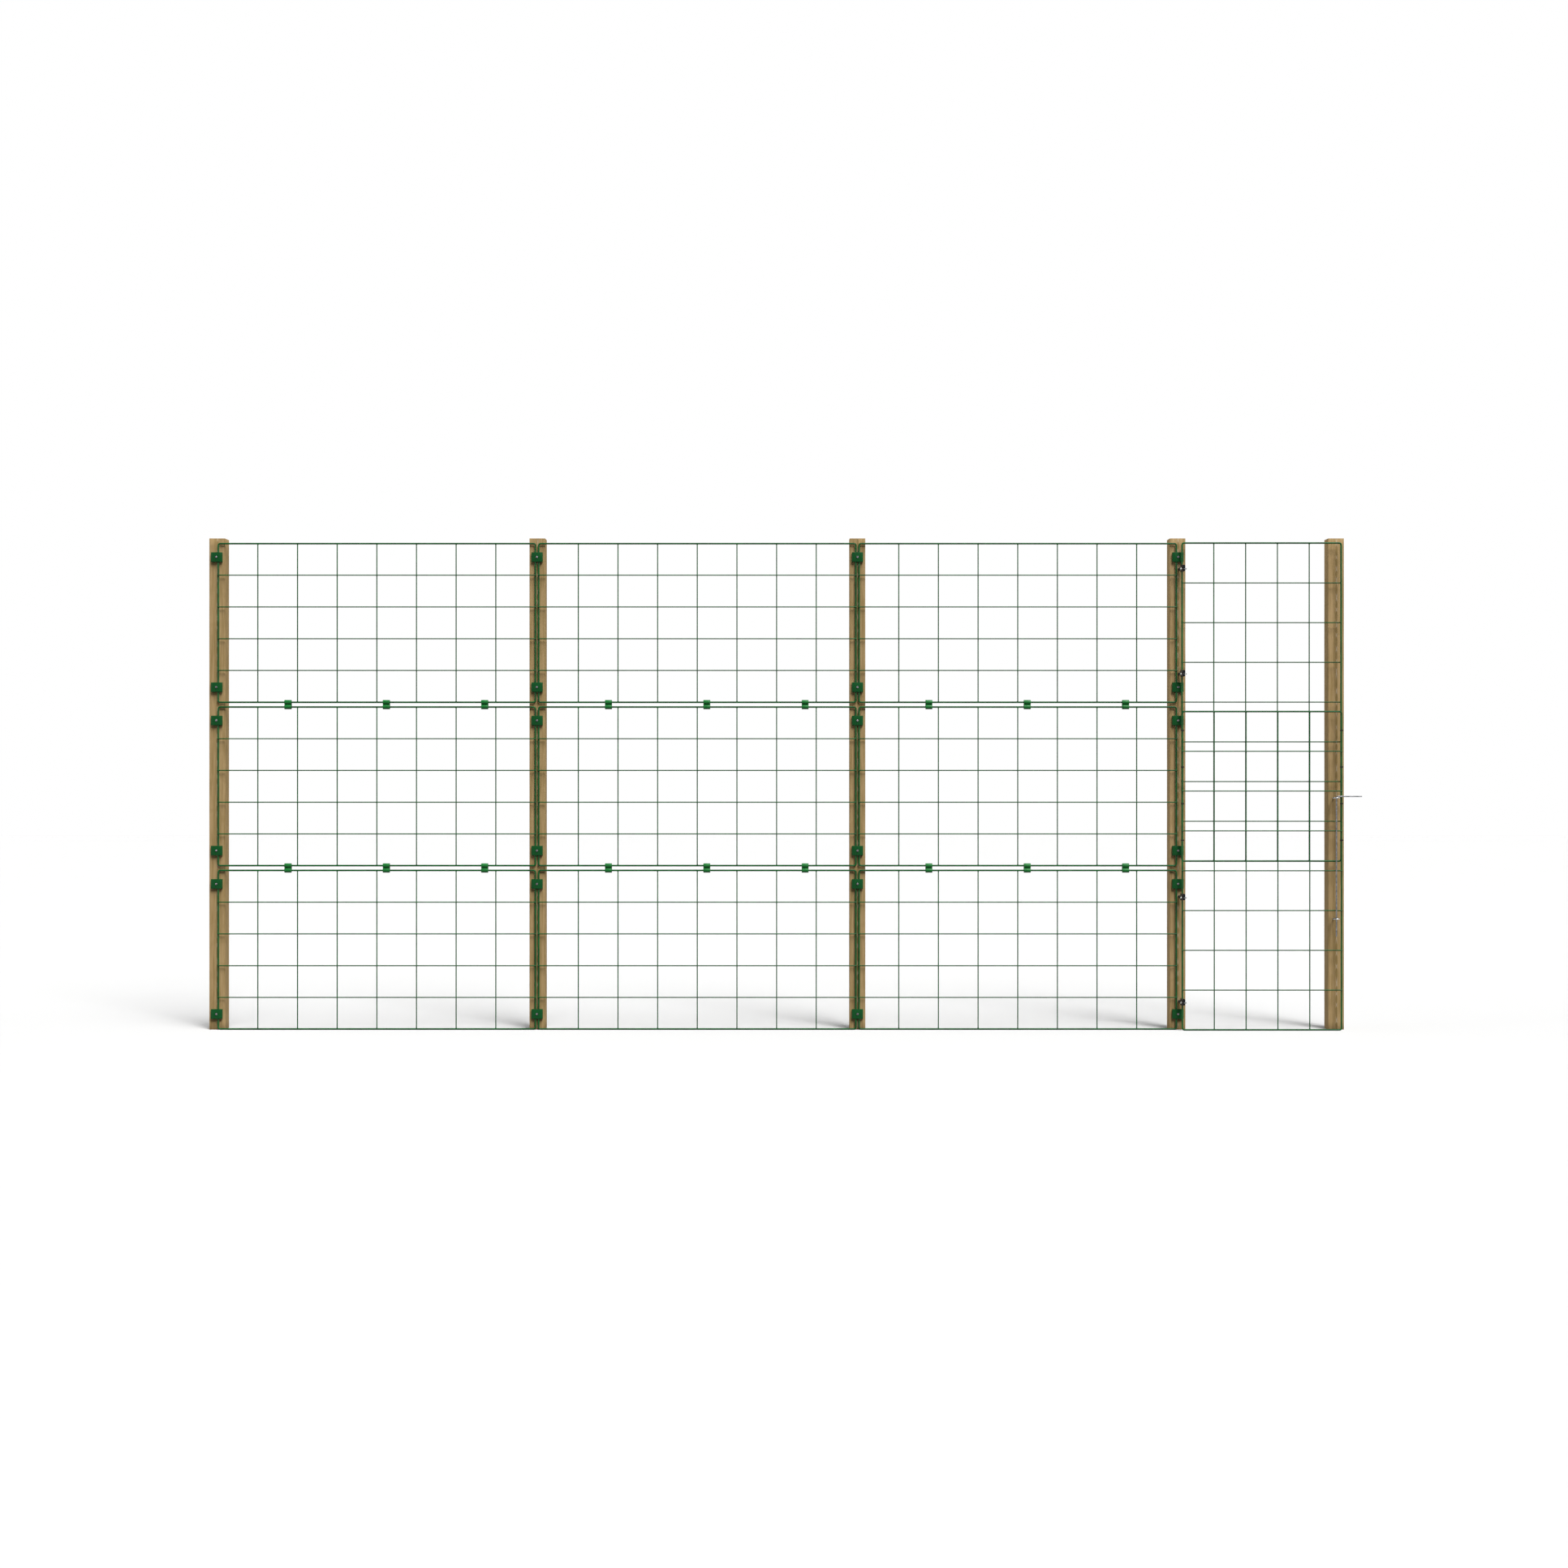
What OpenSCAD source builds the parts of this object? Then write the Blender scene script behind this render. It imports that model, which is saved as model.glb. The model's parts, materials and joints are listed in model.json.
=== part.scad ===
// Livestock fence of three panel bays with a swinging panel gate.
// X runs along the fence from the end post to the latch post, the front is -Y and Z is up.
// The origin is the centre of the hinge post's foot.

/* [Posts] */
// Side of the square wooden posts
post_w = 60; // [56:1:70]
// Height of the posts
post_h = 1860; // [1850:10:2000]

/* [Panels] */
// Width of a fence panel between the centres of its frame wires
panel_w = 1200; // [1120:40:1280]
// Height of a fence panel between the centres of its frame wires
panel_h = 600; // [580:5:600]
// Cells along a fence panel
cells_long = 8; // [6:1:9]
// Cells across a fence panel
cells_short = 5; // [4:1:6]
// Diameter of the frame wire
frame_d = 6.4; // [5.8:0.1:6.5]
// Diameter of the mesh wires
mesh_d = 4.2; // [3.4:0.1:4.4]
// Bend radius of the frame wire at its corners, to the wire's centre
corner_r = 8; // [7:0.5:10]
// Space between the centres of the frame wires of two panels, one above the other
seam_gap = 18; // [18:0.5:19]
// Distance from a post's front face to the centre of the panels' frame wires
standoff = 7; // [6.5:0.1:8]

/* [Gate] */
// Height of each of the two gate panels between the centres of its frame wires
gate_panel_h = 1200; // [1180:5:1210]
// Distance from the hinge post's front face to the hinge axis
hinge_standoff = 31; // [30:0.5:34]
// Distance of the hinge axis to the right of the hinge post's centre
hinge_x = 12; // [11:0.5:14]
// Distance of the highest hinge fitting from the gate's top wire
hinge_head_inset = 96; // [90:1:100]
// Distance of the lowest hinge fitting from the gate's bottom wire
hinge_foot_inset = 105; // [98:1:110]
// Distance between the two hinge fittings of a pair
hinge_pair_gap = 396; // [390:1:400]

/* [Latch] */
// Diameter of the drop rod
rod_d = 5; // [4:0.5:6]
// Length of the drop rod below its handle
rod_h = 528; // [500:1:560]
// Reach of the handle to the right of the rod
handle_reach = 96; // [80:1:110]
// Height of the upper screw eye
upper_eye_z = 878; // [872:1:882]
// Distance between the two screw eyes
eye_gap = 456; // [440:1:470]

/* [Clamps and clips] */
// Width of a panel clamp along X
clamp_w = 42; // [38:1:44]
// Height of a panel clamp
clamp_h = 36; // [30:1:40]
// Distance of a panel's upper clamp from the panel's top wire
clamp_head_inset = 51; // [45:1:60]
// Distance of a panel's lower clamp from the panel's bottom wire
clamp_foot_inset = 57; // [45:1:62]
// Length of a double clip along the wires
clip_w = 26; // [20:1:30]

/* [Hidden] */
$fn = 48;

// Clearance left between wires that touch
touch = 0.02;
// Clearance left between a wire and the piece that holds it
grip = 0.1;
// How far a cutting solid runs past the face that it cuts
past = 1;
// How much deeper a drilled hole in a post is than the screw in it
spare = 1;

BAYS = [1, 2, 3];
ROWS = ["bottom", "middle", "top"];
POSTS = ["end_post", "left_line_post", "right_line_post", "hinge_post"];
SIDES = ["left", "right"];

function panel_name(kind, bay, row) = str("panel_", kind, "_", bay, "_", ROWS[row]);
function clamp_name(kind, i) = str("clamp_", kind, "_", POSTS[i]);
function clip_name(bay, seam) = str("clips_", bay, "_", seam == 0 ? "lower" : "upper");
function eye_name(i) = i == 0 ? "lower_screw_eye" : "upper_screw_eye";

GREEN = "#1f5a2c";
BRIGHT_GREEN = "#22803a";
TIMBER = "#a68b62";
ZINC = "#9aa0a4";
SCREW_STEEL = "#76686f";
BLACK = "#171719";

// Where the posts, panels and gate stand
post_face = -post_w / 2;
frame_y = post_face - standoff;
side_gap = seam_gap / 3;
bay_pitch = panel_w + 2 * side_gap;
row_pitch = panel_h + seam_gap;
ground_gap = frame_d / 2;
hinge_y = post_face - hinge_standoff;
gate_w = panel_h;
gate_top = ground_gap + 2 * row_pitch + panel_h;
gate_wire_offset = frame_d / 2 + grip / 2;
lower_gate_y = hinge_y - gate_wire_offset;
upper_gate_y = hinge_y + gate_wire_offset;

function post_x(i) = (i - 3) * bay_pitch;
function bay_x(bay) = post_x(bay - 1) + side_gap;
function row_z(row) = ground_gap + row * row_pitch;
function clamp_heights() =
    [for (row = [0:2], z = [clamp_foot_inset, panel_h - clamp_head_inset]) row_z(row) + z];
function hinge_heights() = [
    ground_gap + hinge_foot_inset,
    ground_gap + hinge_foot_inset + hinge_pair_gap,
    gate_top - hinge_head_inset - hinge_pair_gap,
    gate_top - hinge_head_inset
];

module place_panel(bay, row) {
    translate([bay_x(bay), frame_y, row_z(row)]) children();
}

// A round bar from the origin along +X, +Y or +Z
module bar_x(d, length) rotate([0, 90, 0]) cylinder(d = d, h = length);
module bar_y(d, length) rotate([-90, 0, 0]) cylinder(d = d, h = length);

// ---- Posts ----

pilot_clearance = 0.05;
clamp_screw_d = 4.5;
clamp_screw_depth = 34;
hinge_stud_d = 7;
hinge_stud_depth = 42;
eye_shank_d = 5;
eye_shank_depth = 38;

module pilot(x, z, d, depth) {
    translate([x, post_face - past, z]) bar_y(d + 2 * pilot_clearance, depth + past);
}

module post() {
    translate([-post_w / 2, -post_w / 2, 0]) cube([post_w, post_w, post_h]);
}

module clamped_post(i) {
    color(TIMBER) translate([post_x(i), 0, 0]) difference() {
        post();
        for (z = clamp_heights()) pilot(0, z, clamp_screw_d, clamp_screw_depth);
        if (i == 3)
            for (z = hinge_heights()) pilot(stud_x, z, hinge_stud_d, hinge_stud_depth);
    }
}

module latch_post() {
    color(TIMBER) difference() {
        translate([gate_w, 0, 0]) post();
        for (i = [0:1]) pilot(rod_x, eye_z(i), eye_shank_d, eye_shank_depth);
    }
}

// ---- Welded panels ----

// One bent frame wire round a width w and height h, its lower left corner's centre lines at the origin
module frame_wire(w, h) {
    for (z = [0, h]) translate([corner_r, 0, z]) bar_x(frame_d, w - 2 * corner_r);
    for (x = [0, w]) translate([x, 0, corner_r]) cylinder(d = frame_d, h = h - 2 * corner_r);
    frame_bend(corner_r, corner_r, 180);
    frame_bend(w - corner_r, corner_r, 270);
    frame_bend(w - corner_r, h - corner_r, 0);
    frame_bend(corner_r, h - corner_r, 90);
}

module frame_bend(x, z, from) {
    translate([x, 0, z]) rotate([90, 0, 0]) rotate([0, 0, from])
        rotate_extrude(angle = 90) translate([corner_r, 0]) circle(d = frame_d);
}

// Upright wires in the frame's own plane, and level wires across the front of them and of the frame
module mesh_wires(w, h, columns, rows) {
    upright_y = (mesh_d - frame_d) / 2;
    level_y = -(mesh_d + frame_d) / 2 - touch;
    upright_end = frame_d / 2 + touch;
    for (i = [1:columns - 1])
        translate([i * w / columns, upright_y, upright_end]) cylinder(d = mesh_d, h = h - 2 * upright_end);
    for (i = [1:rows - 1])
        translate([-frame_d / 2, level_y, i * h / rows]) bar_x(mesh_d, w + frame_d);
}

module fence_frame(bay, row) {
    color(GREEN) place_panel(bay, row) frame_wire(panel_w, panel_h);
}

module fence_mesh(bay, row) {
    color(GREEN) place_panel(bay, row) mesh_wires(panel_w, panel_h, cells_long, cells_short);
}

// ---- Panel clamps ----

clamp_depth = 13;
clamp_bevel = 8;
clamp_bevel_depth = 2;
screw_head_d = 9;
screw_head_h = 4;
clamp_wire_d = frame_d + 2 * grip;
clamp_split = 0.4;

module clamp_outline() {
    polygon([
        [-clamp_w / 2, 0],
        [-clamp_w / 2, clamp_bevel_depth - clamp_depth],
        [-clamp_w / 2 + clamp_bevel, -clamp_depth],
        [clamp_w / 2 - clamp_bevel, -clamp_depth],
        [clamp_w / 2, clamp_bevel_depth - clamp_depth],
        [clamp_w / 2, 0]
    ]);
}

// The clamp's block, drilled for the two wires beside the screw and for the screw
module clamp_block() {
    difference() {
        translate([0, 0, -clamp_h / 2]) linear_extrude(clamp_h) clamp_outline();
        for (x = [-side_gap, side_gap])
            translate([x, -standoff, -clamp_h / 2 - past]) cylinder(d = clamp_wire_d, h = clamp_h + 2 * past);
        translate([0, -clamp_depth - past, 0])
            bar_y(clamp_screw_d + 2 * pilot_clearance, clamp_depth + 2 * past);
    }
}

// The part of the clamp from depth a to depth b in front of the post
module clamp_slice(a, b) {
    intersection() {
        clamp_block();
        translate([-clamp_w / 2 - past, -b, -clamp_h / 2 - past])
            cube([clamp_w + 2 * past, b - a, clamp_h + 2 * past]);
    }
}

module at_clamps(i) {
    for (z = clamp_heights()) translate([post_x(i), post_face, z]) children();
}

module clamp_backs(i) {
    color(GREEN) at_clamps(i) clamp_slice(0, standoff - clamp_split / 2);
}

module clamp_covers(i) {
    color(GREEN) at_clamps(i) clamp_slice(standoff + clamp_split / 2, clamp_depth);
}

// A round-headed wood screw whose head bears on the cover
module clamp_screws(i) {
    dome_r = (pow(screw_head_d / 2, 2) + pow(screw_head_h, 2)) / (2 * screw_head_h);
    color(SCREW_STEEL) at_clamps(i) translate([0, -clamp_depth, 0]) {
        bar_y(clamp_screw_d, clamp_depth + clamp_screw_depth - spare);
        intersection() {
            translate([0, dome_r - screw_head_h, 0]) sphere(r = dome_r);
            translate([0, -screw_head_h - past, 0]) bar_y(screw_head_d, screw_head_h + past);
        }
    }
}

// ---- Double clips ----

clip_r = 8.7;
clip_web_t = 9;
clip_slot = 4.2;
// Places of the three clips of a seam, as shares of the panel's width
clip_shares = [0.22, 0.53, 0.84];

// Two open rings joined by a web, with a snap-in slot behind each wire
module clip_outline() {
    difference() {
        union() {
            for (side = [-1, 1]) translate([0, side * seam_gap / 2]) circle(r = clip_r);
            translate([-clip_web_t / 2, -seam_gap / 2]) square([clip_web_t, seam_gap]);
        }
        for (side = [-1, 1]) translate([0, side * seam_gap / 2]) {
            circle(d = frame_d + 2 * grip);
            translate([0, -clip_slot / 2]) square([clip_r + past, clip_slot]);
        }
    }
}

module clips(bay, seam) {
    color(BRIGHT_GREEN) for (share = clip_shares)
        translate([bay_x(bay) + share * panel_w - clip_w / 2, frame_y, row_z(seam) + panel_h + seam_gap / 2])
            rotate([90, 0, 90]) linear_extrude(clip_w) clip_outline();
}

// ---- Gate ----

module gate_frame_lower() {
    color(GREEN) translate([hinge_x, lower_gate_y, ground_gap]) frame_wire(gate_w, gate_panel_h);
}

module gate_mesh_lower() {
    color(GREEN) translate([hinge_x, lower_gate_y, ground_gap])
        mesh_wires(gate_w, gate_panel_h, cells_short, cells_long);
}

// The upper panel is turned round, so its level wires are behind it
module place_upper_gate() {
    translate([hinge_x, upper_gate_y, gate_top - gate_panel_h]) mirror([0, 1, 0]) children();
}

module gate_frame_upper() {
    color(GREEN) place_upper_gate() frame_wire(gate_w, gate_panel_h);
}

module gate_mesh_upper() {
    color(GREEN) place_upper_gate() mesh_wires(gate_w, gate_panel_h, cells_short, cells_long);
}

tie_t = 1.3;
tie_w = 4.6;
tie_head = [2.6, 6, 4.6];
tie_rise = 4;
tie_middle = (ground_gap + gate_panel_h + gate_top - gate_panel_h) / 2 + tie_rise;
tie_steps = [-207, -69, 69, 207];

module wire_pair_outline(r) {
    for (y = [lower_gate_y, upper_gate_y]) translate([0, y]) circle(r = r);
    translate([-r, lower_gate_y]) square([2 * r, upper_gate_y - lower_gate_y]);
}

// Straps drawn round the two frame wires of one side of the gate, each with its square lock
module cable_ties(side) {
    inner_r = frame_d / 2 + grip;
    color(BLACK) for (step = tie_steps)
        translate([hinge_x + side * gate_w, 0, tie_middle + step - tie_w / 2]) {
            linear_extrude(tie_w) difference() {
                wire_pair_outline(inner_r + tie_t);
                wire_pair_outline(inner_r);
            }
            translate([inner_r + tie_t / 2, hinge_y - tie_head[1] / 2, 0]) cube(tie_head);
        }
}

// ---- Hinge fittings ----

bore_r = 7;
seam_x = -2.5;
jaw_split = 0.6;
jaw_h = 24;
jaw_right = 9;
jaw_back = 10;
jaw_front = 17;
jaw_round = 5;
cheek_t = 2.5;
cheek_h = 27;
cheek_x = seam_x - jaw_split / 2 - cheek_t;
lug_r = 9.5;
lug_h = 15;
stud_inset = 5.5;
stud_x = hinge_x - stud_inset;
stud_start = bore_r + 0.3;
bolt_d = 5;
bolt_hole_d = 5.4;
bolt_y = -12;
bolt_z = -2.5;
bolt_head_d = 8;
bolt_head_h = 4.5;
bolt_end = 6;
nut_af = 8;
nut_h = 4;
collar_d = 10;
collar_h = 3;

module at_hinges() {
    for (z = hinge_heights()) translate([hinge_x, hinge_y, z]) children();
}

// A fitting's upright bore at the origin and the hole for its bolt
module jaw_holes() {
    translate([0, 0, -cheek_h / 2 - past]) cylinder(r = bore_r, h = cheek_h + 2 * past);
    translate([-lug_r - past, bolt_y, bolt_z]) bar_x(bolt_hole_d, lug_r + jaw_right + 2 * past);
}

// Front view of the plastic half, with its right-hand corners rounded
module jaw_outline(w) {
    translate([0, -jaw_h / 2]) square([w - jaw_round, jaw_h]);
    translate([0, jaw_round - jaw_h / 2]) square([w, jaw_h - 2 * jaw_round]);
    for (side = [-1, 1])
        translate([w - jaw_round, side * (jaw_h / 2 - jaw_round)]) circle(r = jaw_round);
}

// Flat cheek along the seam, with a half-round collar on its left round the bore
module steel_half() {
    difference() {
        union() {
            translate([cheek_x, -jaw_front, -cheek_h / 2]) cube([cheek_t, jaw_front + jaw_back, cheek_h]);
            intersection() {
                translate([0, 0, -lug_h / 2]) cylinder(r = lug_r, h = lug_h);
                translate([-lug_r - past, -lug_r, -lug_h / 2])
                    cube([cheek_x + cheek_t / 2 + lug_r + past, 2 * lug_r, lug_h]);
            }
        }
        jaw_holes();
    }
}

module plastic_half() {
    left = seam_x + jaw_split / 2;
    difference() {
        translate([left, jaw_back, 0]) rotate([90, 0, 0])
            linear_extrude(jaw_back + jaw_front) jaw_outline(jaw_right - left);
        jaw_holes();
    }
}

// Steel half of each fitting with the stud that is screwed into the post
module hinge_brackets() {
    color(ZINC) at_hinges() {
        steel_half();
        translate([-stud_inset, stud_start, 0])
            bar_y(hinge_stud_d, hinge_standoff - stud_start + hinge_stud_depth - spare);
        translate([-stud_inset, hinge_standoff - collar_h, 0]) bar_y(collar_d, collar_h);
    }
}

// Plastic half of each fitting, with a six-sided pocket for the nut
module hinge_caps() {
    color(BLACK) at_hinges() difference() {
        plastic_half();
        translate([jaw_right - nut_h, bolt_y, bolt_z])
            rotate([0, 90, 0]) cylinder(d = (nut_af + 2 * grip) / cos(30), h = nut_h + past, $fn = 6);
    }
}

module hinge_bolts() {
    color(ZINC) at_hinges() translate([cheek_x - bolt_head_h, bolt_y, bolt_z]) {
        bar_x(bolt_head_d, bolt_head_h - grip);
        bar_x(bolt_d, bolt_head_h - cheek_x + jaw_right + bolt_end);
    }
}

module hinge_nuts() {
    color(ZINC) at_hinges() translate([jaw_right - nut_h + grip, bolt_y, bolt_z])
        rotate([0, 90, 0]) difference() {
            cylinder(d = nut_af / cos(30), h = nut_h - grip, $fn = 6);
            translate([0, 0, -past]) cylinder(d = bolt_d + grip, h = nut_h + 2 * past);
        }
}

// ---- Latch ----

eye_wire_d = 5;
eye_r = 10.8;
rod_inset = 10;
rod_clearance = 1.3;
rod_x = gate_w - rod_inset;
rod_y = lower_gate_y - frame_d / 2 - mesh_d - rod_clearance - rod_d / 2;
handle_bend_r = 8;
handle_z = upper_eye_z + eye_wire_d / 2 + rod_d / 2 + grip;
handle_length = handle_reach - handle_bend_r;

function eye_z(i) = upper_eye_z - (1 - i) * eye_gap;

// A closed ring round the rod with its shank screwed into the post
module screw_eye(i) {
    color(ZINC) translate([rod_x, rod_y, eye_z(i)]) {
        rotate_extrude() translate([eye_r, 0]) circle(d = eye_wire_d);
        translate([0, eye_r, 0]) bar_y(eye_wire_d, post_face - rod_y - eye_r + eye_shank_depth - spare);
    }
}

module drop_rod() {
    color(ZINC) translate([rod_x, rod_y, handle_z]) {
        translate([0, 0, -rod_h]) cylinder(d = rod_d, h = rod_h - handle_bend_r);
        translate([handle_bend_r, 0, -handle_bend_r]) rotate([90, 0, 0]) rotate([0, 0, 90])
            rotate_extrude(angle = 90) translate([handle_bend_r, 0]) circle(d = rod_d);
        translate([handle_bend_r, 0, 0]) bar_x(rod_d, handle_length);
    }
}

// ---- Nodes ----

for (i = [0:3]) {
    clamped_post(i);
    clamp_backs(i);
    clamp_covers(i);
    clamp_screws(i);
}
for (bay = BAYS) {
    for (row = [0:2]) {
        fence_frame(bay, row);
        fence_mesh(bay, row);
    }
    for (seam = [0:1])
        clips(bay, seam);
}
for (i = [0:1]) {
    cable_ties(i);
    screw_eye(i);
}
latch_post();
gate_frame_lower();
gate_frame_upper();
gate_mesh_lower();
gate_mesh_upper();
hinge_brackets();
hinge_caps();
hinge_bolts();
hinge_nuts();
drop_rod();
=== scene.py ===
import json
import math

import bmesh
import bpy
from mathutils import Matrix, Vector, noise


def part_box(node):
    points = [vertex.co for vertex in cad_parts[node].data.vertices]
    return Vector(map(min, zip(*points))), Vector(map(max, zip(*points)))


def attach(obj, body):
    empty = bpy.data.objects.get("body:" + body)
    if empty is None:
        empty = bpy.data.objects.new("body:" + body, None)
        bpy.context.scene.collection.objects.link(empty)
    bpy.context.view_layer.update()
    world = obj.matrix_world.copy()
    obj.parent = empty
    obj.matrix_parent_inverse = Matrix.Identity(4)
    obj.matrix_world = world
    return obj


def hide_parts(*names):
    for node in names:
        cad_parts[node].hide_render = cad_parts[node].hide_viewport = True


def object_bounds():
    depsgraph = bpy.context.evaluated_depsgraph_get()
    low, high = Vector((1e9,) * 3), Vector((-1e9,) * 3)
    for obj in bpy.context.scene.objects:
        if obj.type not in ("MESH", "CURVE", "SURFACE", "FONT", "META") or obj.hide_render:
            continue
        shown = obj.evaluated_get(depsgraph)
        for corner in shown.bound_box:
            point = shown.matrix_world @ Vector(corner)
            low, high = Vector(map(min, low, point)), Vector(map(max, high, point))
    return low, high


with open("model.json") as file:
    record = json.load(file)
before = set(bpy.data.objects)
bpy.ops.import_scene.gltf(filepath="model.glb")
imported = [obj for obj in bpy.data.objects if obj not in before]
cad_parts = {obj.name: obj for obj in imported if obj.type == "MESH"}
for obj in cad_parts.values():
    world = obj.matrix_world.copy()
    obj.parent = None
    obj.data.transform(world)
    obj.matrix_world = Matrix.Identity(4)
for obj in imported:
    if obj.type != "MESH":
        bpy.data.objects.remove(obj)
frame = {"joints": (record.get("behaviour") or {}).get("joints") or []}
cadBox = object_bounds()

mm = 0.001
tiny = 0.01 * mm
xAxis = Vector((1, 0, 0))
yAxis = Vector((0, 1, 0))
zAxis = Vector((0, 0, 1))
# Lays an outline in the YZ plane, so that it is extruded along X
turnToX = Matrix(((0, 0, 1, 0), (1, 0, 0, 0), (0, 1, 0, 0), (0, 0, 0, 1)))

bays = ["1", "2", "3"]
rows = ["bottom", "middle", "top"]
clampedPosts = ["end_post", "left_line_post", "right_line_post", "hinge_post"]
allPosts = clampedPosts + ["latch_post"]
gatePanels = ["lower", "upper"]


def centreOf(node):
    low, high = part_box(node)
    return (low + high) / 2


def circleProfile(radius, sides):
    turns = [2 * math.pi * k / sides for k in range(sides)]
    return [(radius * math.cos(turn), radius * math.sin(turn)) for turn in turns]


# Rings of equal length become a skin, capped at both ends unless it closes on itself
def joinRings(bm, rings, closed=False):
    following = rings[1:] + rings[:1] if closed else rings[1:]
    for near, far in zip(rings, following):
        for k in range(len(near)):
            bm.faces.new((near[k - 1], near[k], far[k], far[k - 1]))
    if not closed:
        bm.faces.new(rings[0])
        bm.faces.new(list(reversed(rings[-1])))


# Pulls a cross-section along a flat path; up is square to the path's plane
def sweep(bm, path, up, profile, closed=False, growth=None):
    rings = []
    last = len(path) - 1
    for i, point in enumerate(path):
        ahead = path[(i + 1) % len(path)] if closed or i < last else point
        behind = path[i - 1] if closed or i > 0 else point
        across = (ahead - behind).normalized().cross(up)
        size = growth[i] if growth else 1
        rings.append([bm.verts.new(point + size * (a * across + b * up)) for a, b in profile])
    joinRings(bm, rings, closed)


# Turns a profile of (distance along the axis, radius) about that axis
def lathe(bm, start, axis, profile, sides):
    up = axis.orthogonal().normalized()
    across = axis.cross(up)
    rings = []
    for along, radius in profile:
        ring = circleProfile(max(radius, tiny), sides)
        rings.append([bm.verts.new(start + along * axis + a * across + b * up) for a, b in ring])
    joinRings(bm, rings)


# A straight round bar whose two ends are domed over the given depth
def domedBar(bm, start, axis, length, radius, dome, sides, steps=4):
    profile = []
    for step in range(steps + 1):
        turn = math.pi / 2 * step / steps
        profile.append((dome * (1 - math.cos(turn)), radius - dome * (1 - math.sin(turn))))
    profile += [(length - along, size) for along, size in reversed(profile)]
    lathe(bm, start, axis, profile, sides)


# A bar with a rolled thread, drawn in to a blunt point over the thread's taper
def threadedBar(bm, start, axis, length, radius, thread, sides=16):
    up = axis.orthogonal().normalized()
    across = axis.cross(up)
    ringsPerTurn = 6
    bluntTip = 0.08
    rings = []
    count = int(length / thread["pitch"] * ringsPerTurn)
    for i in range(count + 1):
        along = length * i / count
        taper = min(1, (length - along) / thread["taper"])
        ring = []
        for k in range(sides):
            turn = 2 * math.pi * k / sides
            phase = (along / thread["pitch"] - k / sides) % 1
            crest = abs(2 * phase - 1)
            size = (radius - thread["depth"] * (1 - crest)) * max(taper, bluntTip)
            spoke = math.cos(turn) * across + math.sin(turn) * up
            ring.append(bm.verts.new(start + along * axis + size * spoke))
        rings.append(ring)
    joinRings(bm, rings)


def arc(centreX, centreY, radius, fromTurn, toTurn, steps):
    points = []
    for step in range(steps + 1):
        turn = math.radians(fromTurn + (toTurn - fromTurn) * step / steps)
        points.append(Vector((centreX + radius * math.cos(turn), centreY + radius * math.sin(turn))))
    return points


# Corners are (x, y, radius) in order round the outline; a radius of 0 keeps the corner sharp
def roundCorners(corners, steps=4):
    points = []
    for i, (x, y, radius) in enumerate(corners):
        here = Vector((x, y))
        if radius == 0:
            points.append(here)
            continue
        back = (Vector(corners[i - 1][:2]) - here).normalized()
        ahead = (Vector(corners[(i + 1) % len(corners)][:2]) - here).normalized()
        half = back.angle(ahead) / 2
        centre = here + (back + ahead).normalized() * radius / math.sin(half)
        start = here + back * radius / math.tan(half)
        end = here + ahead * radius / math.tan(half)
        for step in range(steps + 1):
            spoke = start.lerp(end, step / steps) - centre
            points.append(centre + spoke.normalized() * radius)
    return points


# A rectangle whose left and right corners are rounded separately
def boxOutline(left, right, front, back, leftCorner, rightCorner, steps=4):
    corners = [(left, front, leftCorner), (right, front, rightCorner)]
    corners += [(right, back, rightCorner), (left, back, leftCorner)]
    return roundCorners(corners, steps)


# Moves an anticlockwise outline inwards
def insetOutline(outline, distance):
    sharpest = 0.4  # keeps the mitre of a narrow corner short
    moved = []
    for i, point in enumerate(outline):
        before = (point - outline[i - 1]).normalized()
        after = (outline[(i + 1) % len(outline)] - point).normalized()
        outBefore = Vector((before.y, -before.x))
        outAfter = Vector((after.y, -after.x))
        mitre = (outBefore + outAfter).normalized()
        moved.append(point - mitre * distance / max(mitre.dot(outBefore), sharpest))
    return moved


# Extrudes an outline along the placing matrix's Z with rounded edges at both ends
def extrudeOutline(bm, outline, length, edge, place, steps=3):
    layers = []
    for step in range(steps + 1):
        turn = math.pi / 2 * step / steps
        layers.append((edge * (1 - math.cos(turn)), edge * (1 - math.sin(turn))))
    layers += [(length - depth, inset) for depth, inset in reversed(layers)]
    rings = []
    for depth, inset in layers:
        ring = insetOutline(outline, inset)
        rings.append([bm.verts.new(place @ Vector((p.x, p.y, depth))) for p in ring])
    joinRings(bm, rings)


# Makes the object, gives it its finish and says which body and parts it stands for
def finishPiece(name, bm, material, body, nodes, place=Vector((0, 0, 0)), sharp=35):
    bmesh.ops.recalc_face_normals(bm, faces=bm.faces)
    mesh = bpy.data.meshes.new(name)
    bm.to_mesh(mesh)
    bm.free()
    mesh.shade_smooth()
    mesh.set_sharp_from_angle(angle=math.radians(sharp))
    mesh.materials.append(material)
    piece = bpy.data.objects.new(name, mesh)
    piece.location = place
    bpy.context.scene.collection.objects.link(piece)
    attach(piece, body)
    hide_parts(*nodes)
    return piece


# A colour on the usual 0 to 255 scale, turned into linear light
def paint(red, green, blue):
    def linear(level):
        share = level / 255
        return share / 12.92 if share <= 0.04045 else ((share + 0.055) / 1.055) ** 2.4
    return (linear(red), linear(green), linear(blue), 1)


def startMaterial(name):
    material = bpy.data.materials.new(name)
    material.use_nodes = True
    tree = material.node_tree
    return material, tree, tree.nodes["Principled BSDF"]


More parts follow.
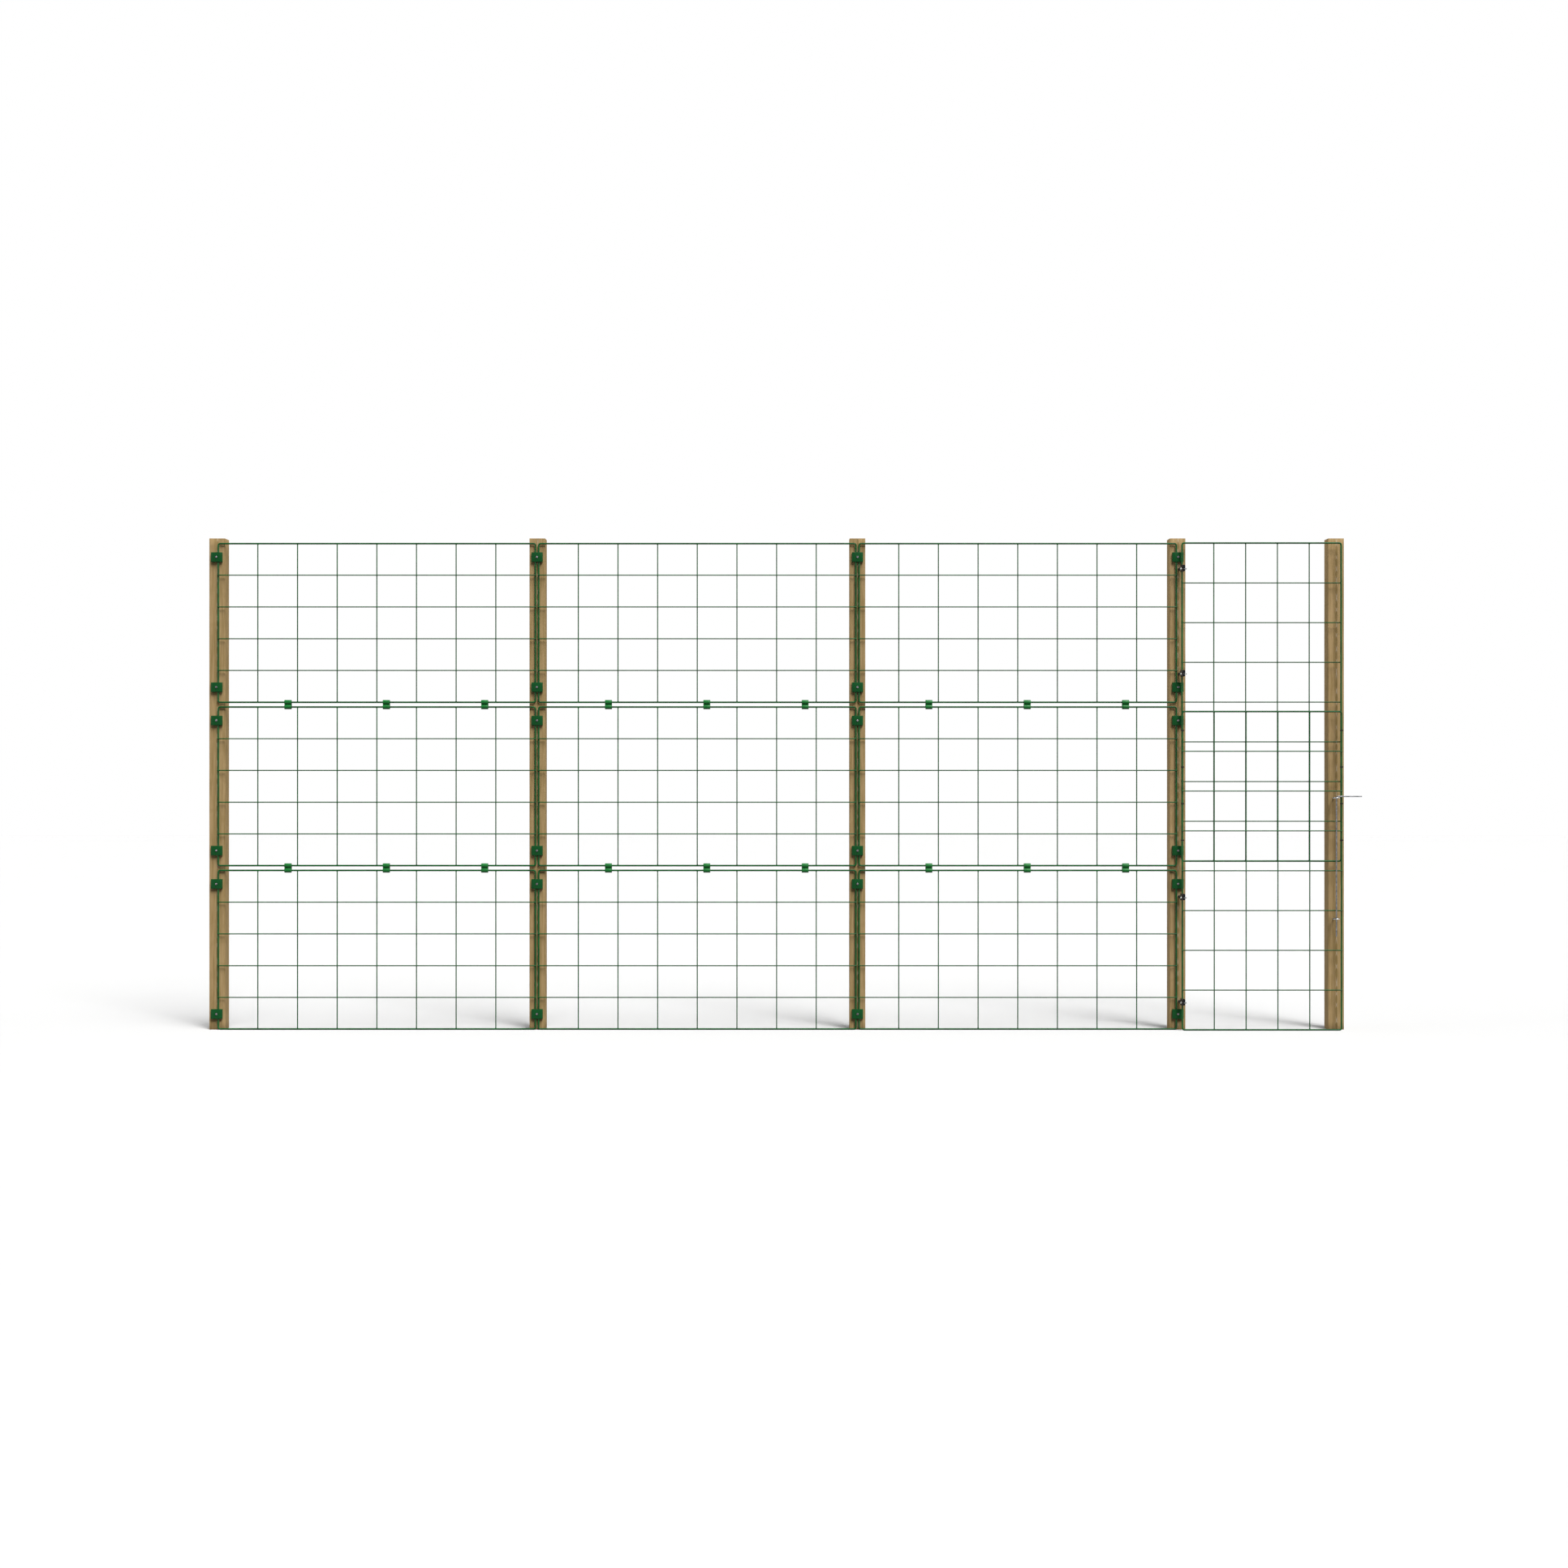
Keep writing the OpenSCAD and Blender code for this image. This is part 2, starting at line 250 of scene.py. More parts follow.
def addNode(tree, kind, inputs, **settings):
    made = tree.nodes.new(kind)
    for name, value in settings.items():
        setattr(made, name, value)
    for key, value in inputs.items():
        if isinstance(value, bpy.types.NodeSocket):
            tree.links.new(value, made.inputs[key])
        else:
            made.inputs[key].default_value = value
    return made


def calc(tree, operation, first, second=0.0, third=0.0):
    return addNode(tree, "ShaderNodeMath", {0: first, 1: second, 2: third}, operation=operation).outputs[0]


def fade(tree, value, low, high):
    inputs = {"Value": value, "From Min": low, "From Max": high}
    return addNode(tree, "ShaderNodeMapRange", inputs, interpolation_type="SMOOTHSTEP").outputs["Result"]


def mixColours(tree, share, first, second):
    return addNode(tree, "ShaderNodeMix", {0: share, 6: first, 7: second}, data_type="RGBA").outputs[2]


def stretched(tree, vector, x, y, z):
    inputs = {0: vector, 1: (x, y, z)}
    return addNode(tree, "ShaderNodeVectorMath", inputs, operation="MULTIPLY").outputs[0]


def cloud(tree, vector, scale, detail=2.0):
    inputs = {"Vector": vector, "Scale": scale, "Detail": detail}
    return addNode(tree, "ShaderNodeTexNoise", inputs).outputs["Fac"]


def objectPlace(tree):
    return addNode(tree, "ShaderNodeTexCoord", {}).outputs["Object"]


def roughen(tree, shader, height, strength, distance):
    bump = addNode(tree, "ShaderNodeBump", {"Strength": strength, "Distance": distance, "Height": height})
    tree.links.new(bump.outputs["Normal"], shader.inputs["Normal"])


timber = {
    "pale": paint(176, 150, 110),
    "base": paint(160, 134, 93),
    "dark": paint(134, 111, 68),
    "streakHeart": paint(120, 100, 56),
    "streakVein": paint(178, 164, 144),
    "endGrain": paint(152, 124, 84),
    "endRing": paint(120, 92, 56),
    "streakOffset": 1.6 * mm,
    "lensHalfWidth": 4.2 * mm,
    "lensLength": 50 * mm,
    "arris": 0.8 * mm,
    "sawRelief": 0.35 * mm,
    "sawFineness": 40,
    "sawLengthwise": 9,
    "ringSpacing": 30 * mm,
    "sideSteps": 6,
    "fibreScale": 1100,
    "streakScale": 260,
    "bandScale": 70,
    "patchScale": 18,
    "streakWander": 5 * mm,
    "rippleTurns": 52,
    "rippleShare": 0.22,
    "pith": (6 * mm, 48 * mm),
    "growthRing": 3.4 * mm,
    "growthWander": 4 * mm,
    "roughness": 0.62,
    "grainDepth": 0.5 * mm,
}


def timberMaterial():
    material, tree, shader = startMaterial("sawnPine")
    place = objectPlace(tree)
    split = addNode(tree, "ShaderNodeSeparateXYZ", {0: place}).outputs
    home = addNode(tree, "ShaderNodeObjectInfo", {}).outputs["Location"]
    homeX = addNode(tree, "ShaderNodeSeparateXYZ", {0: home}).outputs["X"]
    shift = calc(tree, "MULTIPLY", homeX, 0.37)
    height = calc(tree, "ADD", split["Z"], shift)
    own = addNode(tree, "ShaderNodeCombineXYZ", {0: split["X"], 1: split["Y"], 2: height}).outputs[0]

    fibres = cloud(tree, stretched(tree, own, 1, 1, 0.02), timber["fibreScale"], 3)
    streaks = cloud(tree, stretched(tree, own, 1, 1, 0.03), timber["streakScale"], 4)
    bands = cloud(tree, stretched(tree, own, 1, 1, 0.06), timber["bandScale"], 2)
    patches = cloud(tree, stretched(tree, own, 1, 1, 0.5), timber["patchScale"], 2)

    tone = calc(tree, "MULTIPLY_ADD", streaks, 0.55, calc(tree, "MULTIPLY", bands, 0.45))
    lit = mixColours(tree, fade(tree, tone, 0.36, 0.62), timber["dark"], timber["base"])
    lit = mixColours(tree, fade(tree, fibres, 0.5, 0.85), lit, timber["pale"])

    # A chain of slim lens shapes runs up the face a little off its middle, with pale veins where they cross
    wander = cloud(tree, stretched(tree, own, 0, 0, 1), 9, 1)
    sway = timber["streakWander"]
    wanderX = calc(tree, "MULTIPLY_ADD", wander, sway, timber["streakOffset"] - sway / 2)
    drift = calc(tree, "MULTIPLY", wander, 7)
    phase = calc(tree, "MULTIPLY_ADD", height, math.pi / timber["lensLength"], drift)
    phase = calc(tree, "MULTIPLY_ADD", split["Y"], 40, phase)
    swell = calc(tree, "ABSOLUTE", calc(tree, "SINE", phase))
    halfWidth = calc(tree, "MULTIPLY", swell, timber["lensHalfWidth"])
    away = calc(tree, "ABSOLUTE", calc(tree, "SUBTRACT", split["X"], wanderX))
    inside = fade(tree, calc(tree, "SUBTRACT", halfWidth, away), -0.5 * mm, 1.2 * mm)
    inside = calc(tree, "MULTIPLY", inside, fade(tree, streaks, 0.2, 0.6))
    lit = mixColours(tree, calc(tree, "MULTIPLY", inside, 0.85), lit, timber["streakHeart"])
    rim = calc(tree, "ABSOLUTE", calc(tree, "SUBTRACT", away, halfWidth))
    vein = calc(tree, "SUBTRACT", 1, fade(tree, rim, 0.2 * mm, 1.1 * mm))
    nearCrossing = calc(tree, "SUBTRACT", 1, fade(tree, swell, 0.25, 0.8))
    veinHere = calc(tree, "MULTIPLY", vein, nearCrossing)
    lit = mixColours(tree, calc(tree, "MULTIPLY", veinHere, 0.8), lit, timber["streakVein"])

    # Faint ripple marks across the grain
    ripple = calc(tree, "MULTIPLY_ADD", height, timber["rippleTurns"], calc(tree, "MULTIPLY", patches, 9))
    crest = fade(tree, calc(tree, "SINE", ripple), 0.55, 1)
    mark = calc(tree, "MULTIPLY", crest, timber["rippleShare"])
    lit = mixColours(tree, mark, lit, timber["dark"])

    # End grain with growth rings about a pith behind the post
    pithX = calc(tree, "SUBTRACT", split["X"], timber["pith"][0])
    pithY = calc(tree, "SUBTRACT", split["Y"], timber["pith"][1])
    squareX = calc(tree, "MULTIPLY", pithX, pithX)
    squareY = calc(tree, "MULTIPLY", pithY, pithY)
    reach = calc(tree, "SQRT", calc(tree, "ADD", squareX, squareY))
    reach = calc(tree, "MULTIPLY_ADD", patches, timber["growthWander"], reach)
    ringTurn = calc(tree, "MULTIPLY", reach, 2 * math.pi / timber["growthRing"])
    rings = fade(tree, calc(tree, "SINE", ringTurn), 0.1, 0.95)
    endTone = mixColours(tree, calc(tree, "MULTIPLY", rings, 0.6), timber["endGrain"], timber["endRing"])
    normal = addNode(tree, "ShaderNodeTexCoord", {}).outputs["Normal"]
    facesUp = calc(tree, "ABSOLUTE", addNode(tree, "ShaderNodeSeparateXYZ", {0: normal}).outputs["Z"])
    lit = mixColours(tree, fade(tree, facesUp, 0.6, 0.8), lit, endTone)

    tree.links.new(lit, shader.inputs["Base Color"])
    rough = calc(tree, "MULTIPLY_ADD", fibres, 0.25, timber["roughness"])
    tree.links.new(rough, shader.inputs["Roughness"])
    shader.inputs["Specular IOR Level"].default_value = 0.25
    grain = calc(tree, "ADD", calc(tree, "MULTIPLY", fibres, 0.5), streaks)
    roughen(tree, shader, grain, 0.35, timber["grainDepth"])
    return material


# The sides are cut into strips and rings, so that saw marks can lift them a little
def buildPost(node, material):
    low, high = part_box(node)
    half = (high.x - low.x) / 2
    tall = high.z - low.z
    foot = Vector(((low.x + high.x) / 2, (low.y + high.y) / 2, low.z))
    corner = timber["arris"]
    rounded = boxOutline(-half, half, -half, half, corner, corner, 3)
    outline = []
    for i, point in enumerate(rounded):
        following = rounded[(i + 1) % len(rounded)]
        outline.append(point)
        if (following - point).length > half:
            for step in range(1, timber["sideSteps"]):
                outline.append(point.lerp(following, step / timber["sideSteps"]))
    nearEnd = 0.3 * corner
    heights = [0, nearEnd, corner]
    heights += [timber["ringSpacing"] * k for k in range(1, int(tall / timber["ringSpacing"]))]
    heights += [tall - corner, tall - nearEnd, tall]
    fine, lengthwise = timber["sawFineness"], timber["sawLengthwise"]
    bm = bmesh.new()
    rings = []
    for height in heights:
        fromEnd = min(height, tall - height)
        eased = max(0, corner - fromEnd) ** 2 / corner
        ring = []
        for p in insetOutline(outline, eased):
            sample = Vector((p.x * fine + foot.x, p.y * fine, height * lengthwise))
            relief = timber["sawRelief"] * (0.5 + 0.5 * noise.noise(sample))
            keep = 1 - relief / half
            ring.append(bm.verts.new((p.x * keep, p.y * keep, height)))
        rings.append(ring)
    joinRings(bm, rings)
    finishPiece("timber_" + node, bm, material, "fence", [node], foot)


wires = {
    "frameRadius": 3.2 * mm,
    "meshRadius": 2.1 * mm,
    "bendRadius": 8 * mm,
    "bendSteps": 8,
    "frameSides": 20,
    "meshSides": 12,
    "sunkEnd": 0.6 * mm,
    "beadSwell": 0.12,
    "beadReach": 2.5 * mm,
    "beadSteps": 3,
    "nuggetWide": 2.9 * mm,
    "nuggetDeep": 1.5 * mm,
    "nuggetSteps": 6,
    "nuggetSides": 10,
    "weldedDome": 0.4,
    "openDome": 0.8,
    "fenceCells": (8, 5),
    "gateCells": (5, 8),
    "toneScale": 45,
    "speckleScale": 700,
    "roughness": 0.3,
    "grainDepth": 0.06 * mm,
    "green": paint(9, 80, 30),
    "greenPale": paint(24, 98, 46),
    "greenDeep": paint(5, 60, 21),
}


def wireMaterial():
    material, tree, shader = startMaterial("greenWireCoating")
    place = objectPlace(tree)
    tone = cloud(tree, place, wires["toneScale"], 3)
    speckle = cloud(tree, place, wires["speckleScale"], 2)
    colour = mixColours(tree, fade(tree, tone, 0.3, 0.7), wires["greenDeep"], wires["green"])
    specks = calc(tree, "MULTIPLY", fade(tree, speckle, 0.55, 0.8), 0.5)
    colour = mixColours(tree, specks, colour, wires["greenPale"])
    tree.links.new(colour, shader.inputs["Base Color"])
    tree.links.new(calc(tree, "MULTIPLY_ADD", speckle, 0.2, wires["roughness"]), shader.inputs["Roughness"])
    shader.inputs["Specular IOR Level"].default_value = 0.2
    roughen(tree, shader, calc(tree, "ADD", speckle, tone), 0.15, wires["grainDepth"])
    return material


# The frame wire is bent round four corners and butt-welded half-way up its left side
def frameWirePath(low, high, y):
    bend = wires["bendRadius"]
    centres = [(high.x - bend, high.z - bend, 0), (low.x + bend, high.z - bend, 90)]
    centres += [(low.x + bend, low.z + bend, 180), (high.x - bend, low.z + bend, 270)]
    middle = (low.z + high.z) / 2
    beadSteps = wires["beadSteps"]
    path = []
    growth = []
    for x, z, turn in centres:
        for p in arc(x, z, bend, turn, turn + 90, wires["bendSteps"]):
            path.append(Vector((p.x, y, p.y)))
            growth.append(1)
        if turn == 90:
            for step in range(-beadSteps, beadSteps + 1):
                share = step / beadSteps
                path.append(Vector((low.x, y, middle - wires["beadReach"] * share)))
                growth.append(1 + wires["beadSwell"] * math.cos(math.pi / 2 * share))
    return path, growth


# The squeezed metal where two wires are welded
def weldNugget(bm, centre):
    rings = []
    for step in range(1, wires["nuggetSteps"]):
        turn = math.pi * step / wires["nuggetSteps"]
        depth = wires["nuggetDeep"] * math.cos(turn)
        ring = circleProfile(wires["nuggetWide"] * math.sin(turn), wires["nuggetSides"])
        rings.append([bm.verts.new(centre + Vector((a, depth, b))) for a, b in ring])
    joinRings(bm, rings)


# The level wires lie on the side of the frame that front points to: -1 is the front, 1 the back
def buildPanel(nodes, name, body, cells, front, material):
    frameNode, meshNode = nodes
    columns, levels = cells
    low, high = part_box(frameNode)
    radius = wires["frameRadius"]
    thin = wires["meshRadius"]
    inset = Vector((radius, 0, radius))
    low, high = low + inset, high - inset
    middleY = (low.y + high.y) / 2
    bm = bmesh.new()
    path, growth = frameWirePath(low, high, middleY)
    sweep(bm, path, yAxis, circleProfile(radius, wires["frameSides"]), True, growth)
    finishPiece("frameWire_" + name, bm, material, body, [frameNode])

    uprightY = middleY + front * (radius - thin)
    levelY = middleY + front * (radius + thin)
    sunk = wires["sunkEnd"]
    start = low.z + radius - sunk
    bm = bmesh.new()
    xs = [low.x + (high.x - low.x) * i / columns for i in range(1, columns)]
    zs = [low.z + (high.z - low.z) * i / levels for i in range(1, levels)]
    for x in xs:
        foot = Vector((x, uprightY, start))
        length = high.z - radius + sunk - start
        domedBar(bm, foot, zAxis, length, thin, wires["weldedDome"] * thin, wires["meshSides"])
        for z in (low.z + radius, high.z - radius):
            weldNugget(bm, Vector((x, uprightY, z)))
    for z in zs:
        left = Vector((low.x - radius, levelY, z))
        length = high.x - low.x + 2 * radius
        domedBar(bm, left, xAxis, length, thin, wires["openDome"] * thin, wires["meshSides"])
        for x in xs:
            weldNugget(bm, Vector((x, (uprightY + levelY) / 2, z)))
        for x in (low.x, high.x):
            weldNugget(bm, Vector((x, middleY + front * radius, z)))
    finishPiece("meshWire_" + name, bm, material, body, [meshNode])


clamp = {
    "width": 42 * mm,
    "height": 36 * mm,
    "depth": 13 * mm,
    "bevel": 8 * mm,
    "bevelDepth": 2 * mm,
    "wireRadius": 3.3 * mm,
    "channelSteps": 12,
    "edge": 0.7 * mm,
    "screwHeadRadius": 4.5 * mm,
    "screwHeadHeight": 4 * mm,
    "recessDepth": 1.8 * mm,
    "recessReach": 2.7 * mm,
    "recessHalfWidth": 0.7 * mm,
    "shankRadius": 2.25 * mm,
    "thread": {"pitch": 2.2 * mm, "depth": 0.6 * mm, "taper": 8 * mm},
    "roughness": 0.34,
    "grain": 1400,
    "green": paint(9, 70, 29),
    "greenScuffed": paint(24, 82, 42),
    "greenDeep": paint(8, 56, 23),
    "steel": paint(150, 140, 146),
    "steelDark": paint(96, 90, 95),
}


# Plastic in one of a piece's colours, with its deeper tone in clouds and its paler tone in scuffs
def mouldedMaterial(name, piece, hue):
    toneScale, scuffScale = 60, 420
    plain, scuffed, deep = piece[hue], piece[hue + "Scuffed"], piece[hue + "Deep"]
    material, tree, shader = startMaterial(name)
    place = objectPlace(tree)
    tone = cloud(tree, place, toneScale, 2)
    texture = cloud(tree, place, piece["grain"], 3)
    scuffs = cloud(tree, stretched(tree, place, 1, 0.4, 0.25), scuffScale, 4)
    mixed = mixColours(tree, fade(tree, tone, 0.3, 0.7), deep, plain)
    mixed = mixColours(tree, 0.65, mixed, plain)
    worn = calc(tree, "MULTIPLY", fade(tree, scuffs, 0.62, 0.8), 0.45)
    mixed = mixColours(tree, worn, mixed, scuffed)
    tree.links.new(mixed, shader.inputs["Base Color"])
    tree.links.new(calc(tree, "MULTIPLY_ADD", texture, 0.2, piece["roughness"]), shader.inputs["Roughness"])
    shader.inputs["Specular IOR Level"].default_value = 0.15
    roughen(tree, shader, texture, 0.12, 0.05 * mm)
    return material


# Bare metal in one of a piece's tones, spangled, stained and brushed along the given stretch
def metalMaterial(name, piece, tone, roughness, along):
    spangleScale, brushScale, stainScale = 160, 1500, 90
    bright, dark = piece[tone], piece[tone + "Dark"]
    material, tree, shader = startMaterial(name)
    place = objectPlace(tree)
    cells = addNode(tree, "ShaderNodeTexVoronoi", {"Vector": place, "Scale": spangleScale})
    spangle = cells.outputs["Distance"]
    brushed = cloud(tree, stretched(tree, place, *along), brushScale, 3)
    stain = cloud(tree, place, stainScale, 3)
    mixed = mixColours(tree, fade(tree, stain, 0.35, 0.7), dark, bright)
    mixed = mixColours(tree, calc(tree, "MULTIPLY", spangle, 0.35), mixed, dark)
    tree.links.new(mixed, shader.inputs["Base Color"])
    shader.inputs["Metallic"].default_value = 1
    worn = calc(tree, "MULTIPLY_ADD", stain, -0.1, roughness)
    rough = calc(tree, "MULTIPLY_ADD", brushed, 0.22, worn)
    tree.links.new(rough, shader.inputs["Roughness"])
    roughen(tree, shader, brushed, 0.08, 0.03 * mm)
    return material


# Heights of a post's clamps: one near the foot and one near the head of each panel
def clampHeights():
    lowest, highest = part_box("clamp_covers_end_post")
    footInset = lowest.z + clamp["height"] / 2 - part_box("panel_frame_1_bottom")[0].z
    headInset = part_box("panel_frame_1_top")[1].z - highest.z + clamp["height"] / 2
    heights = []
    for row in rows:
        low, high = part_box("panel_frame_1_" + row)
        heights += [low.z + footInset, high.z - headInset]
    return heights


# A half of the clamp seen from above: outer corners first, then the two wire channels in its split face
def clampHalf(bm, corners, splitY, wireY, gap, side, post, z):
    steps = clamp["channelSteps"]
    radius = clamp["wireRadius"]
    lean = math.degrees(math.asin((splitY - wireY) / radius))
    outline = roundCorners(corners)
    order = (1, -1) if side < 0 else (-1, 1)
    for wire in order:
        if side < 0:
            outline += arc(wire * gap, wireY, radius, lean, -180 - lean, steps)
        else:
            outline += arc(wire * gap, wireY, radius, 180 - lean, lean, steps)
    place = Matrix.Translation((post.x, 0, z - clamp["height"] / 2))
    extrudeOutline(bm, outline, clamp["height"], clamp["edge"], place)


# Round head with a cross recess, its shank threaded into the post
def clampScrew(bm, x, y, z, length):
    radius = clamp["screwHeadRadius"]
    height = clamp["screwHeadHeight"]
    sphere = (radius ** 2 + height ** 2) / (2 * height)
    sides = 48
    count = 16
    rings = []
    for step in range(count + 1):
        reach = radius * math.sin(math.pi / 2 * step / count)
        reach = max(reach, tiny)
        rise = height - sphere + math.sqrt(max(sphere ** 2 - reach ** 2, 0))
        ring = []
        for a, b in circleProfile(reach, sides):
            arm = min(abs(a), abs(b)) / clamp["recessHalfWidth"]
            into = max(0, 1 - reach / clamp["recessReach"]) ** 0.5
            sink = clamp["recessDepth"] * into * max(0, 1 - arm ** 4)
            ring.append(bm.verts.new((x + a, y - rise + sink, z + b)))
        rings.append(ring)
    joinRings(bm, rings)
    threadedBar(bm, Vector((x, y, z)), yAxis, length, clamp["shankRadius"], clamp["thread"], sides=12)


def buildClamps(node, plastic, steel):
    post = centreOf(node)
    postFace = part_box(node)[0].y
    frameMiddle = centreOf("panel_frame_1_bottom").y
    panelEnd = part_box("panel_frame_1_bottom")[1].x
    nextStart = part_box("panel_frame_2_bottom")[0].x
    gap = (nextStart - panelEnd) / 2 + wires["frameRadius"]
    half = clamp["width"] / 2
    front = postFace - clamp["depth"]
    shoulder = front + clamp["bevelDepth"]
    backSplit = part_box("clamp_backs_" + node)[0].y
    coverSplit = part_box("clamp_covers_" + node)[1].y
    edge = clamp["edge"]
    backs = bmesh.new()
    covers = bmesh.new()
    screws = bmesh.new()
    for z in clampHeights():
        outer = [(-half, coverSplit, 0), (-half, shoulder, edge), (-half + clamp["bevel"], front, edge),
                 (half - clamp["bevel"], front, edge), (half, shoulder, edge), (half, coverSplit, 0)]
        clampHalf(covers, outer, coverSplit, frameMiddle, gap, -1, post, z)
        inner = [(half, backSplit, 0), (half, postFace, edge), (-half, postFace, edge), (-half, backSplit, 0)]
        clampHalf(backs, inner, backSplit, frameMiddle, gap, 1, post, z)
        clampScrew(screws, post.x, front, z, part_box("clamp_screws_" + node)[1].y - front)
    finishPiece("clampBacks_" + node, backs, plastic, "fence", ["clamp_backs_" + node])
    finishPiece("clampCovers_" + node, covers, plastic, "fence", ["clamp_covers_" + node])
    screwNodes = ["clamp_screws_" + node]
    finishPiece("clampScrews_" + node, screws, steel, "fence", screwNodes, sharp=50)


clip = {
    "ringRadius": 8.7 * mm,
    "boreRadius": 3.3 * mm,
    "waist": 7.0 * mm,
    "slot": 4.2 * mm,
    "length": 26 * mm,
    "edge": 1.0 * mm,
    "edgeSteps": 4,
    "ringSteps": 22,
    "boreSteps": 16,
    "lipSteps": 8,
    "perSeam": 3,
    "roughness": 0.22,
    "grain": 1800,
    "green": paint(24, 104, 44),
    "greenScuffed": paint(60, 138, 76),
    "greenDeep": paint(14, 78, 31),
}


# Two open rings and the web between them, seen from the end; x points to the back, y upwards
def clipOutline(seam):
    radius = clip["ringRadius"]
    bore = clip["boreRadius"]
    slotHalf = clip["slot"] / 2
    waistTurn = math.degrees(math.asin(clip["waist"] / 2 / radius))
    slotTurn = math.degrees(math.asin(slotHalf / radius))
    mouthTurn = math.degrees(math.asin(slotHalf / bore))
    half = seam / 2
    ringSteps, boreSteps, lipSteps = clip["ringSteps"], clip["boreSteps"], clip["lipSteps"]
    outline = arc(0, half, radius, slotTurn, 270 - waistTurn, ringSteps)
    outline += arc(0, -half, radius, 90 + waistTurn, 360 - slotTurn, ringSteps)
    outline += arc(0, -half, bore, -mouthTurn, -360 + mouthTurn, boreSteps)
    outline += arc(0, -half, radius, slotTurn, 90 - waistTurn, lipSteps)
    outline += arc(0, half, radius, 270 + waistTurn, 360 - slotTurn, lipSteps)
    outline += arc(0, half, bore, -mouthTurn, -360 + mouthTurn, boreSteps)
    return outline


def buildClips(bay, seamName, below, above, material):
    node = "clips_" + bay + "_" + seamName
    low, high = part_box(node)
    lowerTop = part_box("panel_frame_" + bay + "_" + below)[1].z
    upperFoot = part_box("panel_frame_" + bay + "_" + above)[0].z
    seam = upperFoot - lowerTop + 2 * wires["frameRadius"]
    wireY = centreOf("panel_frame_" + bay + "_" + below).y
    outline = clipOutline(seam)
    bm = bmesh.new()
    for i in range(clip["perSeam"]):
        x = low.x + (high.x - low.x - clip["length"]) * i / (clip["perSeam"] - 1)
        place = Matrix.Translation((x, wireY, (lowerTop + upperFoot) / 2)) @ turnToX
        extrudeOutline(bm, outline, clip["length"], clip["edge"], place, clip["edgeSteps"])
    finishPiece("clips_" + bay + "_" + seamName + "_seam", bm, material, "fence", [node])


tie = {
    "thickness": 1.3 * mm,
    "width": 4.6 * mm,
    "headDeep": 2.6 * mm,
    "headLong": 6 * mm,
    "headSpread": 1.12,
    "headCorners": (0.4 * mm, 0.9 * mm),
    "headEdge": 0.5 * mm,
    "stub": 0.7 * mm,
    "stubHalf": 0.7 * mm,
    "stubSpread": 0.78,
    "stubEdge": 0.1 * mm,
    "slack": 0.1 * mm,
    "bendSteps": 14,
    "perSide": 4,
    "roughness": 0.38,
    "grain": 2200,
    "black": paint(30, 30, 29),
    "blackScuffed": paint(62, 62, 60),
    "blackDeep": paint(16, 16, 16),
}


def strapProfile(thickness, width):
    a, b = thickness / 2, width / 2
    corner = 0.3 * a
    return [(p.x, p.y) for p in boxOutline(-a, a, -b, b, corner, corner, 2)]


# Each strap goes round both frame wires, with its square lock and a short cut tail on the right
def buildTies(side, material):
    node = "cable_ties_" + side
    low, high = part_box(node)
    lowerY = centreOf("gate_frame_lower").y
    upperY = centreOf("gate_frame_upper").y
    radius = wires["frameRadius"] + tie["slack"] + tie["thickness"] / 2
    frameLow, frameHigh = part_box("gate_frame_lower")
    wireX = frameLow.x + wires["frameRadius"] if side == "left" else frameHigh.x - wires["frameRadius"]
    bm = bmesh.new()
    for i in range(tie["perSide"]):
        z = low.z + tie["width"] / 2 + (high.z - low.z - tie["width"]) * i / (tie["perSide"] - 1)
        loop = arc(wireX, upperY, radius, 0, 180, tie["bendSteps"])
        loop += arc(wireX, lowerY, radius, 180, 360, tie["bendSteps"])
        path = [Vector((p.x, p.y, z)) for p in loop]
        sweep(bm, path, zAxis, strapProfile(tie["thickness"], tie["width"]), True)
        headX = wireX + radius
        headY = (lowerY + upperY) / 2
        headEnd = headX + tie["headDeep"]
        longHalf = tie["headLong"] / 2
        wide = tie["headSpread"] * tie["width"]
        head = boxOutline(headX, headEnd, headY - longHalf, headY + longHalf, *tie["headCorners"])
        extrudeOutline(bm, head, wide, tie["headEdge"], Matrix.Translation((0, 0, z - wide / 2)))
        stubHalf = tie["stubHalf"]
        narrow = tie["stubSpread"] * tie["width"]
        stub = boxOutline(headX, headEnd + tie["stub"], headY - stubHalf, headY + stubHalf, 0, 0.2 * mm)
        extrudeOutline(bm, stub, narrow, tie["stubEdge"], Matrix.Translation((0, 0, z - narrow / 2)))
    finishPiece("cableTies_" + side, bm, material, "gate", [node])


